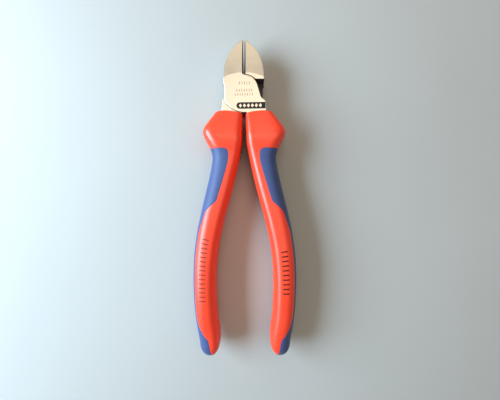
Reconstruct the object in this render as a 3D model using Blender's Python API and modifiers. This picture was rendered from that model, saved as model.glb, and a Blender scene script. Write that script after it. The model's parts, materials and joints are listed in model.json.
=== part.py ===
"""Diagonal cutting pliers, 160 mm long, with two-colour moulded grips.

Two forged levers cross at a lap joint and turn on one flush rivet. The front lever carries the
left jaw, the front lap plate and the right handle. The back lever carries the right jaw, the back
lap plate and the left handle. Each handle holds a hard grip shell with a soft inlay set into it.

The pliers lie on their grips in the XY plane: +Y points to the jaws and +Z is up. Everything is
modelled about the rivet's centre with the jaws shut, and two empties then open each lever by
half the rest angle. The origin is the middle of the footprint, on the surface below the grips.
"""

import math

import bmesh
import bpy
from mathutils import Matrix, Vector

MM = 0.001

# Overall
REST_OPENING = math.radians(1.4)
PIVOT_HEIGHT = 9.6 * MM
PIVOT_TO_TIP = 27.0 * MM
PIVOT_TO_GRIP_END = 133.0 * MM
PIVOT = Vector((0.0, (PIVOT_TO_GRIP_END - PIVOT_TO_TIP) / 2, PIVOT_HEIGHT))

# Head
HEAD_THICKNESS = 11.0 * MM
GRINDING_ALLOWANCE = 0.3 * MM
LAP_GAP = 0.1 * MM
RUNNING_GAP = 0.1 * MM
PLATE_TOP_RADIUS = 7.9 * MM
PLATE_BOTTOM_RADIUS = 10.7 * MM
PLATE_EDGE_X = 9.55 * MM
JAW_HEEL_Y = 5.9 * MM
SHOULDER_BOTTOM_Y = -13.0 * MM

# The jaw's outer edge from heel to tip, and the plate's right edge, in millimetres
JAW_EDGE = [
    (-10.05, 5.9), (-9.95, 9.0), (-9.45, 12.4), (-8.75, 15.6), (-7.4, 19.0), (-5.4, 22.3),
    (-2.45, 25.7), (-0.9, 27.0),
]
NOTCH_EDGE = [
    (4.75, 6.3), (6.35, 3.8), (6.95, 1.8), (7.6, -0.4), (8.3, -2.9), (9.2, -4.15), (10.5, -5.4),
]

# Jaw faces and cutting edges
BELLY_RADIUS = 120.0 * MM
BELLY_SLOPE = math.radians(10.6)
BELLY_START_Y = 9.05 * MM
EDGE_CLEARANCE = 0.04 * MM
EDGE_START = Vector((0.0, 7.9, 3.6)) * MM
EDGE_END = Vector((0.0, 27.0, 1.5)) * MM
FRONT_BEVEL = math.radians(22.0)
BACK_BEVEL = math.radians(21.0)
SLOT_RADIUS = 0.85 * MM
SLOT_CENTRE = (0.0, 8.85 * MM)

# Rivet
RIVET_RADIUS = 3.5 * MM
RIVET_HEAD_RADIUS = 4.6 * MM
RIVET_HEAD_DEPTH = 1.1 * MM
RIVET_CLEARANCE = 0.05 * MM
ROUND_STEPS = 48

# Grip: the edges of the handle and its half thickness, as (y, value) stations in millimetres
OUTER_EDGE = [
    (-10.2, 14.0), (-12.5, 15.8), (-15.5, 18.0), (-18.5, 20.1), (-20.7, 20.65), (-24.3, 19.2),
    (-27.3, 17.6), (-30.1, 16.25), (-33.2, 15.75), (-36.2, 16.1), (-42.3, 17.25), (-48.4, 18.6),
    (-60.6, 21.4), (-72.8, 23.7), (-84.9, 24.9), (-93.0, 25.05), (-103.2, 24.7), (-115.4, 23.4),
    (-125.8, 21.5),
]
INNER_EDGE = [
    (-10.2, 0.5), (-24.0, 0.65), (-30.1, 1.6), (-36.2, 2.75), (-48.4, 5.5), (-60.6, 8.7),
    (-66.7, 10.15), (-78.9, 12.45), (-91.0, 13.4), (-97.1, 13.5), (-109.3, 12.95), (-115.4, 12.3),
    (-121.5, 11.35), (-125.8, 11.2),
]
HALF_THICKNESS = [
    (-10.2, 7.0), (-21.5, 9.3), (-23.5, 9.6), (-25.5, 9.3), (-31.0, 8.0), (-37.0, 7.6),
    (-60.0, 8.0), (-92.0, 8.4), (-112.0, 8.1), (-125.8, 7.0),
]
SQUARENESS = [(-10.2, 4.0), (-24.0, 3.6), (-40.0, 3.0), (-125.8, 2.8)]
GRIP_RINGS = [
    -10.2, -13.0, -16.0, -18.8, -20.4, -21.9, -23.5, -26.0, -29.0, -32.5, -36.5, -43.0, -52.0,
    -62.0, -72.0, -82.0, -92.0, -102.0, -111.0, -119.0, -125.8,
]
GRIP_END_ANGLES = [25.0, 48.0, 68.0]
GRIP_END_LENGTH = 7.4
MOUTH_ROUNDING = [(0.0, 0.8), (0.3, 0.25)]
CROWN_SHARE = 0.45
OUTER_ROUNDNESS = 0.78
TOP_DIP = 1.1
TOP_DIP_REACH = 9.0
RING_POINTS = 24

# Tang: the forged bar inside the grip, as (y, centre x, half width, half thickness) in millimetres
TANG = [
    (-11.9, 6.0, 4.2, 4.4), (-20.0, 7.0, 4.5, 4.3), (-35.0, 9.3, 4.3, 4.2), (-50.0, 12.3, 4.1, 4.1),
    (-65.0, 15.7, 3.9, 4.0), (-80.0, 18.1, 3.7, 3.9), (-92.0, 18.7, 3.6, 3.8),
    (-105.0, 18.3, 3.4, 3.6), (-120.0, 16.6, 3.0, 3.3),
]
TANG_SQUARENESS = 5.0
TANG_POINTS = 16
CAVITY_GAP = 0.15

# Inlay: its depth and clearance, and its boundary seen from the front, in millimetres
INLAY_DEPTH = 1.5
INLAY_GAP = 0.12
STRIP_WIDTH = 1.6
INLAY_TOP_Y = -28.9
INLAY_CORNER = (9.6, -31.3)
INLAY_CORNER_RADIUS = 2.4
THUMB_EDGE = [
    (7.3, -34.8), (8.6, -40.0), (12.0, -51.7), (13.2, -54.9), (16.1, -57.5), (18.4, -60.2),
    (20.2, -65.4),
]
TOE_EDGE = [
    (20.9, -116.8), (18.4, -120.7), (16.6, -122.8), (15.9, -125.4), (15.4, -128.6), (14.7, -134.0),
]

# Materials: colour, roughness, metallic
LOOKS = {
    "steel": ((0.72, 0.69, 0.63), 0.32, 1.0),
    "grip_red": ((0.85, 0.07, 0.025), 0.35, 0.0),
    "grip_blue": ((0.05, 0.11, 0.38), 0.6, 0.0),
}


# Scene helpers

def clear_scene():
    for obj in list(bpy.data.objects):
        bpy.data.objects.remove(obj, do_unlink=True)


def new_collection(name):
    collection = bpy.data.collections.new(name)
    bpy.context.scene.collection.children.link(collection)
    return collection


def material(name):
    colour, roughness, metallic = LOOKS[name]
    made = bpy.data.materials.get(name) or bpy.data.materials.new(name)
    made.use_nodes = True
    shader = made.node_tree.nodes["Principled BSDF"]
    shader.inputs["Base Color"].default_value = (*colour, 1.0)
    shader.inputs["Roughness"].default_value = roughness
    shader.inputs["Metallic"].default_value = metallic
    return made


def add_object(name, mesh):
    obj = bpy.data.objects.new(name, mesh)
    PLIERS.objects.link(obj)
    return obj


def evaluated_mesh(obj):
    bpy.context.view_layer.update()
    graph = bpy.context.evaluated_depsgraph_get()
    return bpy.data.meshes.new_from_object(obj.evaluated_get(graph))


def weld(mesh):
    shape = bmesh.new()
    shape.from_mesh(mesh)
    bmesh.ops.remove_doubles(shape, verts=shape.verts, dist=1e-7)
    bmesh.ops.recalc_face_normals(shape, faces=shape.faces)
    shape.to_mesh(mesh)
    shape.free()


def boolean(target, other, operation):
    """Cuts, joins or intersects target with other, and removes other."""
    modifier = target.modifiers.new(operation, "BOOLEAN")
    modifier.operation = operation
    modifier.solver = "EXACT"
    modifier.object = other
    target.data = evaluated_mesh(target)
    target.modifiers.clear()
    bpy.data.objects.remove(other, do_unlink=True)
    return target


def cut(target, *cutters):
    for cutter in cutters:
        boolean(target, cutter, "DIFFERENCE")
    return target


def join(target, *others):
    for other in others:
        boolean(target, other, "UNION")
    return target


def shade(obj, material_name, crease_degrees=30.0):
    obj.data.materials.clear()
    obj.data.materials.append(material(material_name))
    obj.data.shade_smooth()
    obj.data.set_sharp_from_angle(angle=math.radians(crease_degrees))


# Outline helpers

def arc(centre, radius, start_degrees, end_degrees, steps):
    """Points on an arc, both ends included."""
    turns = [start_degrees + (end_degrees - start_degrees) * i / steps for i in range(steps + 1)]
    return [
        (centre[0] + radius * math.cos(math.radians(t)), centre[1] + radius * math.sin(math.radians(t)))
        for t in turns
    ]


def spline_through(points, steps):
    """A Catmull-Rom curve through the points, both ends included."""
    ends = [Vector(points[0]) * 2 - Vector(points[1]), Vector(points[-1]) * 2 - Vector(points[-2])]
    p = [ends[0], *map(Vector, points), ends[1]]
    curve = []
    for i in range(1, len(p) - 2):
        for s in range(steps):
            t = s / steps
            a = p[i] * 2 + (p[i + 1] - p[i - 1]) * t
            b = (p[i - 1] * 2 - p[i] * 5 + p[i + 1] * 4 - p[i + 2]) * t * t
            c = (p[i] * 3 - p[i - 1] - p[i + 1] * 3 + p[i + 2]) * t ** 3
            curve.append(tuple((a + b + c) / 2))
    return [*curve, tuple(points[-1])]


def read_stations(stations, y):
    """The value at y of a smooth curve through (y, value) stations, without overshoot."""
    if y >= stations[0][0]:
        return stations[0][1]
    if y <= stations[-1][0]:
        return stations[-1][1]
    slopes = [(b[1] - a[1]) / (b[0] - a[0]) for a, b in zip(stations, stations[1:])]

    def tangent(i):
        if i == 0 or i == len(stations) - 1:
            return slopes[min(i, len(slopes) - 1)]
        before, after = slopes[i - 1], slopes[i]
        return 0.0 if before * after <= 0 else 2 * before * after / (before + after)

    i = next(k for k in range(len(slopes)) if y >= stations[k + 1][0])
    (y0, v0), (y1, v1) = stations[i], stations[i + 1]
    step = y1 - y0
    t = (y - y0) / step
    return (
        v0 * (1 + 2 * t) * (1 - t) ** 2
        + step * tangent(i) * t * (1 - t) ** 2
        + v1 * t * t * (3 - 2 * t)
        + step * tangent(i + 1) * t * t * (t - 1)
    )


def extruded(name, outline, low, high):
    """A flat outline of (x, y) points given a thickness from z low to z high."""
    curve = bpy.data.curves.new(name, "CURVE")
    curve.dimensions = "2D"
    curve.fill_mode = "BOTH"
    curve.extrude = (high - low) / 2
    spline = curve.splines.new("POLY")
    spline.points.add(len(outline) - 1)
    for point, (x, y) in zip(spline.points, outline):
        point.co = (x, y, 0.0, 1.0)
    spline.use_cyclic_u = True
    guide = bpy.data.objects.new(name, curve)
    PLIERS.objects.link(guide)
    mesh = evaluated_mesh(guide)
    mesh.transform(Matrix.Translation((0, 0, (high + low) / 2)))
    bpy.data.objects.remove(guide, do_unlink=True)
    weld(mesh)
    return add_object(name, mesh)


def cylinder(name, radius, low, high):
    bpy.ops.mesh.primitive_cylinder_add(
        vertices=ROUND_STEPS, radius=radius, depth=high - low, location=(0.0, 0.0, (high + low) / 2)
    )
    return take_active(name)


def take_active(name):
    """Moves the object just made by an operator into the pliers' collection, placed in its mesh."""
    obj = bpy.context.active_object
    obj.name = name
    for collection in obj.users_collection:
        collection.objects.unlink(obj)
    PLIERS.objects.link(obj)
    bpy.context.view_layer.update()
    obj.data.transform(obj.matrix_world)
    obj.matrix_world = Matrix.Identity(4)
    return obj


def loft(name, rings, pole=None):
    """A closed skin over rings of equal point counts. pole closes the last ring at one point."""
    shape = bmesh.new()
    loops = [[shape.verts.new(p) for p in ring] for ring in rings]
    count = len(loops[0])
    for a, b in zip(loops, loops[1:]):
        for i in range(count):
            shape.faces.new((a[i], a[(i + 1) % count], b[(i + 1) % count], b[i]))
    shape.faces.new(loops[0])
    if pole is None:
        shape.faces.new(loops[-1])
    else:
        tip = shape.verts.new(pole)
        for i in range(count):
            shape.faces.new((loops[-1][i], loops[-1][(i + 1) % count], tip))
    bmesh.ops.recalc_face_normals(shape, faces=shape.faces)
    mesh = bpy.data.meshes.new(name)
    shape.to_mesh(mesh)
    shape.free()
    return add_object(name, mesh)


def superellipse(angle, half_width, half_height, exponent):
    c, s = math.cos(angle), math.sin(angle)
    power = 2.0 / exponent
    return (
        half_width * math.copysign(abs(c) ** power, c),
        half_height * math.copysign(abs(s) ** power, s),
    )


# Levers. side is 1 for the front lever (jaw on -X, plate at +Z, handle on +X) and -1 for the back
# lever, which is the same forging turned half a turn about Y but for its cutting edge.

def sided(outline, side):
    return [(x * side, y) for x, y in outline]


def half_span(side, low, high):
    """A z range in the side's own half of the lap joint, as (low, high)."""
    return (low, high) if side > 0 else (-high, -low)


def in_metres(points):
    return [(x * MM, y * MM) for x, y in points]


def jaw_outline():
    outer = in_metres(spline_through(JAW_EDGE, 3))
    return [*outer, (-EDGE_CLEARANCE, PIVOT_TO_TIP), (-EDGE_CLEARANCE, JAW_HEEL_Y)]


def bevel_cutter(name, side, angle):
    """A block with one face on a bevel of the cutting edge. angle leans that face about the edge."""
    length, size = 30 * MM, 12 * MM
    direction = EDGE_END - EDGE_START
    bpy.ops.mesh.primitive_cube_add(size=1.0)
    block = take_active(name)
    block.data.transform(Matrix.Diagonal((size, length, 3 * size, 1.0)))
    block.data.transform(Matrix.Translation((size / 2, 0.0, 0.0)))
    tilt = Matrix.Rotation(math.atan2(direction.z, direction.y), 4, "X")
    lean = Matrix.Rotation(angle, 4, "Y")
    middle = (EDGE_START + EDGE_END) / 2 - Vector((EDGE_CLEARANCE, 0.0, 0.0))
    block.data.transform(Matrix.Translation(middle) @ tilt @ lean)
    if side < 0:
        mirror_x(block)
    return block


def mirror_x(obj):
    obj.data.transform(Matrix.Diagonal((-1.0, 1.0, 1.0, 1.0)))
    obj.data.flip_normals()


def make_jaw(side):
    half = HEAD_THICKNESS / 2 + GRINDING_ALLOWANCE
    jaw = extruded("jaw", sided(jaw_outline(), side), -half, half)
    room = cylinder("room", PLATE_TOP_RADIUS + RUNNING_GAP, *half_span(-side, -0.2 * MM, 2 * half))
    front_bevel = bevel_cutter("front_bevel", side, -FRONT_BEVEL)
    back_bevel = bevel_cutter("back_bevel", side, BACK_BEVEL)
    return cut(jaw, room, front_bevel, back_bevel)


def plate_outline():
    left_corner = math.degrees(math.acos(PLATE_EDGE_X / PLATE_BOTTOM_RADIUS))
    slot_end = arc(SLOT_CENTRE, SLOT_RADIUS, 180, 270, 6)
    top = arc((0, 0), PLATE_TOP_RADIUS, 86, 56, 8)
    notch = in_metres(spline_through(NOTCH_EDGE, 3))
    foot = in_metres([(10.9, -12.0), (1.95, -12.0)])
    bottom = arc((0, 0), PLATE_BOTTOM_RADIUS, -85, left_corner - 180, 16)
    left = in_metres([(-9.55, 3.3), (-10.03, 3.8), (-10.0, 6.9), (-9.2, 9.0)])
    return [*slot_end, *top, *notch, *foot, *bottom, *left]


def shoulder_outline():
    top = in_metres([(1.0, -10.0), (9.2, -4.1), (10.55, -4.3)])
    return [*top, (11.1 * MM, SHOULDER_BOTTOM_Y), (2.4 * MM, SHOULDER_BOTTOM_Y)]


def make_shoulder(side):
    half = HEAD_THICKNESS / 2 + GRINDING_ALLOWANCE
    full = extruded("shoulder", sided(shoulder_outline(), side), -half, half)
    room = cylinder("room", PLATE_BOTTOM_RADIUS + RUNNING_GAP, *half_span(-side, -0.2 * MM, 2 * half))
    corner = in_metres([(8.8, -3.7), (12.0, -6.85), (14.0, -6.85), (14.0, -2.0), (8.8, -2.0)])
    front_corner = extruded("corner", sided(corner, side), *half_span(side, -0.15 * MM, 2 * half))
    return cut(full, room, front_corner)


def make_tang(side, grow=0.0):
    rings = []
    for y, centre, half_width, half_thickness in TANG:
        ring = []
        end_shift = grow if y == TANG[0][0] else -grow if y == TANG[-1][0] else 0.0
        for i in range(TANG_POINTS):
            angle = math.tau * (i + 0.5) / TANG_POINTS
            dx, dz = superellipse(angle, half_width + grow, half_thickness + grow, TANG_SQUARENESS)
            ring.append(Vector(((centre + dx) * side, y + end_shift, dz)) * MM)
        rings.append(ring)
    return loft("tang", rings)


def belly_block(side_z):
    """A long barrel whose crown is the slightly domed face of the jaws on one side of the head."""
    bpy.ops.mesh.primitive_cylinder_add(
        vertices=180, radius=BELLY_RADIUS, depth=120 * MM, rotation=(math.radians(90), 0.0, 0.0)
    )
    barrel = take_active("belly")
    lean = Matrix.Rotation(-BELLY_SLOPE * side_z, 4, "X")
    crown = Vector((0.0, BELLY_START_Y, side_z * HEAD_THICKNESS / 2))
    drop = lean @ Vector((0.0, 0.0, -side_z * BELLY_RADIUS))
    barrel.data.transform(Matrix.Translation(crown + drop) @ lean)
    return barrel


def grind_head(head):
    """Brings the head to its finished thickness and dishes the jaws' faces down to their tips."""
    bpy.ops.mesh.primitive_cube_add(size=1.0)
    slab = take_active("slab")
    slab.data.transform(Matrix.Diagonal((60 * MM, 100 * MM, HEAD_THICKNESS, 1.0)))
    boolean(head, slab, "INTERSECT")
    for side_z in (1, -1):
        boolean(head, belly_block(side_z), "INTERSECT")
    return head


def rivet_profile(grow):
    """Half section of the rivet as (radius, z), top to bottom."""
    top = HEAD_THICKNESS / 2
    neck = top - RIVET_HEAD_DEPTH
    head, shank = RIVET_HEAD_RADIUS + grow, RIVET_RADIUS + grow
    rise = 0.5 * MM if grow else 0.0
    upper = [(head, top + rise), (head, top), (shank, neck)] if grow else [(head, top), (shank, neck)]
    lower = [(r, -z) for r, z in reversed(upper)]
    return upper + lower


def turned(name, profile):
    """Turns a (radius, z) profile about Z. It runs down the outer side and closes on the axis."""
    points = [(0.0, profile[0][1]), *profile, (0.0, profile[-1][1])]
    mesh = bpy.data.meshes.new(name)
    edges = [(i, i + 1) for i in range(len(points) - 1)]
    mesh.from_pydata([(r, 0.0, z) for r, z in points], edges, [])
    obj = add_object(name, mesh)
    screw = obj.modifiers.new("turn", "SCREW")
    screw.steps = screw.render_steps = ROUND_STEPS
    screw.use_merge_vertices = True
    screw.merge_threshold = 1e-6
    obj.data = evaluated_mesh(obj)
    obj.modifiers.clear()
    return obj


def make_lever(name, side):
    half = HEAD_THICKNESS / 2 + GRINDING_ALLOWANCE / 2
    plate = extruded("plate", sided(plate_outline(), side), *half_span(side, LAP_GAP / 2, half))
    lever = join(make_jaw(side), plate, make_shoulder(side))
    grind_head(lever)
    join(lever, make_tang(side))
    cut(lever, turned("bore", rivet_profile(RIVET_CLEARANCE)))
    lever.name = lever.data.name = name
    shade(lever, "steel")
    return lever


def make_rivet():
    rivet = turned("joint_rivet", rivet_profile(0.0))
    shade(rivet, "steel")
    return rivet


# Grips

def outer_edge(y):
    return read_stations(OUTER_EDGE, y)


def grip_ring(y, inset, shrink=1.0, end_y=None):
    """One section of the right grip, in millimetres. shrink draws it in towards the grip's end."""
    inner, outer = read_stations(INNER_EDGE, y) + inset, outer_edge(y) - inset
    middle = (inner + outer) / 2
    inner, outer = middle + (inner - middle) * shrink, middle + (outer - middle) * shrink
    crown = inner + (outer - inner) * CROWN_SHARE
    height = (read_stations(HALF_THICKNESS, y) - inset) * shrink
    square = read_stations(SQUARENESS, y)
    ring = []
    for i in range(RING_POINTS):
        angle = math.tau * i / RING_POINTS
        towards_outer = math.cos(angle) > 0
        half_width = outer - crown if towards_outer else crown - inner
        exponent = square * OUTER_ROUNDNESS if towards_outer else square
        dx, dz = superellipse(angle, half_width, height, exponent)
        x = crown + dx
        ring.append(Vector((x, (y if end_y is None else end_y) - top_dip(x, y), dz)) * MM)
    return ring


def top_dip(x, y):
    """The grip's mouth is lower near the middle of the tool, which fades out below the mouth."""
    fade = max(0.0, 1.0 - (GRIP_RINGS[0] - y) / TOP_DIP_REACH)
    lean = max(0.0, 1.0 - x / TOP_DIP_REACH)
    return TOP_DIP * lean ** 1.5 * fade


def grip_loft(name, inset):
    first, last = GRIP_RINGS[0], GRIP_RINGS[-1]
    rings = [grip_ring(first - step, inset + rounding) for step, rounding in MOUTH_ROUNDING]
    rings += [grip_ring(first - 1.0, inset)] + [grip_ring(y, inset) for y in GRIP_RINGS[1:]]
    length = GRIP_END_LENGTH - inset
    for angle in map(math.radians, GRIP_END_ANGLES):
        rings.append(grip_ring(last, inset, math.cos(angle), last - length * math.sin(angle)))
    pole_x = (read_stations(INNER_EDGE, last) + outer_edge(last)) / 2
    return loft(name, rings, Vector((pole_x, last - length, 0.0)) * MM)


def inlay_outline(gap):
    """The soft zone seen from the front. gap draws its boundary in, clear of the shell."""
    top = [(30.0, INLAY_TOP_Y), *arc(INLAY_CORNER, INLAY_CORNER_RADIUS, 90, 180, 5)]
    strip = [(outer_edge(y) - STRIP_WIDTH, y) for y in range(-72, -115, -7)]
    low = [(14.5, -145.0), (30.0, -145.0)]
    return offset([*top, *spline_through(THUMB_EDGE, 3), *strip, *spline_through(TOE_EDGE, 3), *low], gap)


def offset(outline, gap):
    """Moves each point of a counter-clockwise outline inwards by gap, along its own normal."""
    moved = []
    for i, point in enumerate(outline):
        before, after = Vector(outline[i - 1]), Vector(outline[(i + 1) % len(outline)])
        along = (after - before).normalized()
        moved.append((point[0] - along.y * gap, point[1] + along.x * gap))
    return moved


def inlay_prism(gap):
    return extruded("inlay_prism", in_metres(inlay_outline(gap)), -14 * MM, 14 * MM)


def make_inlay():
    inlay = grip_loft("right_grip_inlay", 0.0)
    boolean(inlay, inlay_prism(INLAY_GAP), "INTERSECT")
    cut(inlay, grip_loft("core", INLAY_DEPTH))
    shade(inlay, "grip_blue")
    return inlay


def make_shell():
    shell = grip_loft("right_grip_shell", 0.0)
    recess = inlay_prism(0.0)
    cut(recess, grip_loft("core", INLAY_DEPTH + INLAY_GAP))
    mouth = in_metres([(-0.1, -8.0), (11.3, -8.0), (11.4, -13.2), (2.25, -13.2)])
    half = HEAD_THICKNESS / 2 + CAVITY_GAP * MM
    cavity = join(make_tang(1, CAVITY_GAP), extruded("mouth", mouth, -half, half))
    cut(shell, recess, cavity)
    shade(shell, "grip_red")
    return shell


# Assembly

def pivot_empty(name, opening):
    empty = bpy.data.objects.new(name, None)
    PLIERS.objects.link(empty)
    empty.location = PIVOT
    empty.rotation_euler = (0.0, 0.0, opening)
    return empty


def turned_copy(obj, name):
    """The same mesh turned half a turn about the tool's long axis."""
    copy = add_object(name, obj.data)
    copy.rotation_euler = (0.0, math.pi, 0.0)
    return copy


def build():
    shell, inlay = make_shell(), make_inlay()
    front = pivot_empty("front_half", REST_OPENING / 2)
    back = pivot_empty("back_half", -REST_OPENING / 2)
    for piece in (make_lever("front_lever", 1), make_rivet(), shell, inlay):
        piece.parent = front
    for piece in (
        make_lever("back_lever", -1),
        turned_copy(shell, "left_grip_shell"),
        turned_copy(inlay, "left_grip_inlay"),
    ):
        piece.parent = back


clear_scene()
PLIERS = new_collection("diagonal_cutting_pliers")
build()
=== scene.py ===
"""Looks of the diagonal cutting pliers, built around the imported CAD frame.

The levers, the rivet, the hard grip shells and the soft inlays are made again here as fine meshes
with rounded edges, each standing for its CAD node. Printed marks are plain shapes. Every size
below is in millimetres about the rivet's centre with the jaws shut, unless it says otherwise.
"""

import json
import math

import bmesh
import bpy
import numpy as np
from mathutils import Matrix, Vector
from mathutils.geometry import delaunay_2d_cdt


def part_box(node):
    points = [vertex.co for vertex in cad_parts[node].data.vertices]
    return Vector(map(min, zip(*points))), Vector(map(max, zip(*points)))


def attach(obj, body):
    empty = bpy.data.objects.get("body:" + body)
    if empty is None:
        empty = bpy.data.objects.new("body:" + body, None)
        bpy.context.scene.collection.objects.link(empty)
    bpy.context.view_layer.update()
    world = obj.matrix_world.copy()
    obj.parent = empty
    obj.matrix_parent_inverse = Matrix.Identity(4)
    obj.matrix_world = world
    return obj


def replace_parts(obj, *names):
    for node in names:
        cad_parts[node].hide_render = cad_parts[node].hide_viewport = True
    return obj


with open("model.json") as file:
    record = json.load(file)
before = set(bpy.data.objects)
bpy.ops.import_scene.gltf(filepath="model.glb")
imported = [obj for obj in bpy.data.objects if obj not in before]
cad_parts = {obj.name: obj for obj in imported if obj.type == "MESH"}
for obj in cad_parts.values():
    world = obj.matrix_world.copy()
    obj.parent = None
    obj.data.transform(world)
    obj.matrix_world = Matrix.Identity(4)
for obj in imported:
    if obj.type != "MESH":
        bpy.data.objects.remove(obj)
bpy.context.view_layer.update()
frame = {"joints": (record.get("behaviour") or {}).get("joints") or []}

MM = 0.001
SAME_PLACE = 1e-4
JOINT = frame["joints"][0]
PIVOT = Vector(JOINT["pos_m"])
REST_OPENING = math.radians(-JOINT["range_deg"][0])

# Head
HALF = (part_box("joint_rivet")[1].z - PIVOT.z) / MM
TIP_Y = 27.0
LAP_GAP = 0.1
GROOVE = 0.28
PLATE_TOP_RADIUS = 7.9
PLATE_BOTTOM_RADIUS = 10.7
PLATE_EDGE_X = 9.55
PLATE_TOP_START = 56
PLATE_TOP_STEPS = 16
PLATE_BOTTOM_END = 275
PLATE_BOTTOM_STEPS = 40
JAW_HEEL_Y = 5.9
HEEL_STEP = [(-10.03, 3.8), (-PLATE_EDGE_X, 3.3)]
SHOULDER_TOP = (10.55, -4.3)
SHOULDER_FOOT = [(1.95, -12.0), (2.4, -13.0), (11.1, -13.0)]
LAP_FOOT_Y = -4.0
LAP_FOOT_END = -95
LAP_FOOT_STEPS = 60
LAP_TOP_STEPS = 48
CORNER_CUT = [(8.8, -3.7), (12.0, -6.85), (14.0, -6.85), (14.0, -2.0), (8.8, -2.0)]
CORNER_CUT_LOW = -0.15
HEAD_FILLET = 0.22
HEAD_FILLET_STEPS = 4
OUTLINE_STEP = 0.7
CURVE_STEPS = 6
HEAD_GRID = 1.0
HEAD_GRID_MARGIN = 0.6
STAGGERED_ROW = 0.87
JAW_EDGE = [
    (-10.05, 5.9), (-9.95, 9.0), (-9.45, 12.4), (-8.75, 15.6), (-7.4, 19.0), (-5.4, 22.3),
    (-2.45, 25.7), (-0.9, 27.0),
]
NOTCH_EDGE = [
    (4.75, 6.3), (6.35, 3.8), (6.95, 1.8), (7.6, -0.4), (8.3, -2.9), (9.2, -4.15),
]

# How far a cutter reaches past the faces, and past the sides
PAST_FACE = 1.0
PAST_SIDE = 15.0

# Jaw faces and cutting edges
BELLY_RADIUS = 148.0
BELLY_START_Y = 9.05
BELLY_START_SLOPE = 0.151
BELLY_CURVE = 0.002
CREASE_X = (-9.6, -0.45)
CREASE_POINTS = 18
CREASE_CLEARANCE = 0.35
CREASE_TOLERANCE = 0.02
CREASE_DEPTH = 0.3
GRID_START_X = 9.5
EDGE_CLEARANCE = 0.04
EDGE_START = (7.9, 3.8)
EDGE_END = (27.0, 1.15)
FRONT_BEVEL = math.radians(22.0)
BACK_BEVEL = math.radians(21.0)
BEVEL_REACH = 6.0
EDGE_CUTTER_X = 3.0
SLOT_RADIUS = 0.85
SLOT_Y = 8.85
SLOT_BELOW_EDGE = 0.25
SLOT_STEPS = 48

# Rivet
RIVET_RADIUS = 3.5
RIVET_HEAD_RADIUS = 4.6
RIVET_HEAD_DEPTH = 1.1
RIVET_CLEARANCE = 0.01
BORE_RISE = 20
ROUND_STEPS = 96

# Grips: the handle's edges and half thickness, as (y, value) stations
OUTER_EDGE = [
    (-10.2, 14.0), (-12.5, 15.8), (-15.5, 18.0), (-18.5, 20.1), (-20.7, 20.65), (-24.3, 19.2),
    (-27.3, 17.6), (-30.1, 16.25), (-33.2, 15.75), (-36.2, 16.1), (-42.3, 17.25), (-48.4, 18.6),
    (-60.6, 21.4), (-72.8, 23.7), (-84.9, 24.9), (-93.0, 25.05), (-103.2, 24.7), (-115.4, 23.4),
    (-125.8, 21.5),
]
INNER_EDGE = [
    (-10.2, 0.5), (-24.0, 0.65), (-30.1, 1.6), (-36.2, 2.75), (-48.4, 5.5), (-60.6, 8.7),
    (-66.7, 10.15), (-78.9, 12.45), (-91.0, 13.4), (-97.1, 13.5), (-109.3, 12.95), (-115.4, 12.3),
    (-121.5, 11.35), (-125.8, 11.2),
]
HALF_THICKNESS = [
    (-10.2, 7.0), (-21.5, 9.3), (-23.5, 9.6), (-25.5, 9.3), (-31.0, 8.0), (-37.0, 7.6),
    (-60.0, 8.0), (-92.0, 8.4), (-112.0, 8.1), (-125.8, 7.0),
]
SQUARENESS = [(-10.2, 5.4), (-24.0, 4.6), (-33.0, 3.4), (-42.0, 3.0), (-125.8, 2.8)]
MOUTH_Y = -10.2
GRIP_LAST_Y = -125.8
GRIP_END_LENGTH = 7.4
MOUTH_FILLET = 0.8
MOUTH_TURNS = range(0, 91, 15)
CROWN_SHARE = 0.45
OUTER_ROUNDNESS = 0.78
TOP_DIP = 1.1
TOP_DIP_REACH = 9.0
TOP_DIP_POWER = 1.5
STATION_STEP = 0.1
STATION_BLUR = 0.8
GRIP_GRID = 0.85
GRIP_GRID_MARGIN = 0.42
ROW_END_GAP = 0.3
LEAST_IN_ROW = 5
MOUTH_POINTS = 40
END_POINTS = 8

# A typical section, which spaces the points round every section
TYPICAL_WIDTH = 6.0
TYPICAL_HEIGHT = 8.0
TYPICAL_SQUARENESS = 2.9
GIRTH_HEIGHT_SHARE = 1.7
WAY_STEPS = 720

# The grip's skin unrolled: its half girth is drawn SKIN_WIDTH wide, from the outer side to the inner
SKIN_WIDTH = 22.0
SKIN_END = GRIP_LAST_Y - GRIP_END_LENGTH * math.pi / 2

# Tang, as (y, centre x, half width, half thickness)
TANG = [
    (-11.9, 6.0, 4.2, 4.4), (-20.0, 7.0, 4.5, 4.3), (-35.0, 9.3, 4.3, 4.2), (-50.0, 12.3, 4.1, 4.1),
    (-65.0, 15.7, 3.9, 4.0), (-80.0, 18.1, 3.7, 3.9), (-92.0, 18.7, 3.6, 3.8),
    (-105.0, 18.3, 3.4, 3.6), (-120.0, 16.6, 3.0, 3.3),
]
TANG_SQUARENESS = 5.0
TANG_POINTS = 24
CAVITY_GAP = 0.15
MOUTH_CAVITY = [(-0.1, -8.0), (2.25, -13.2), (11.4, -13.2), (11.3, -8.0)]

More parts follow.
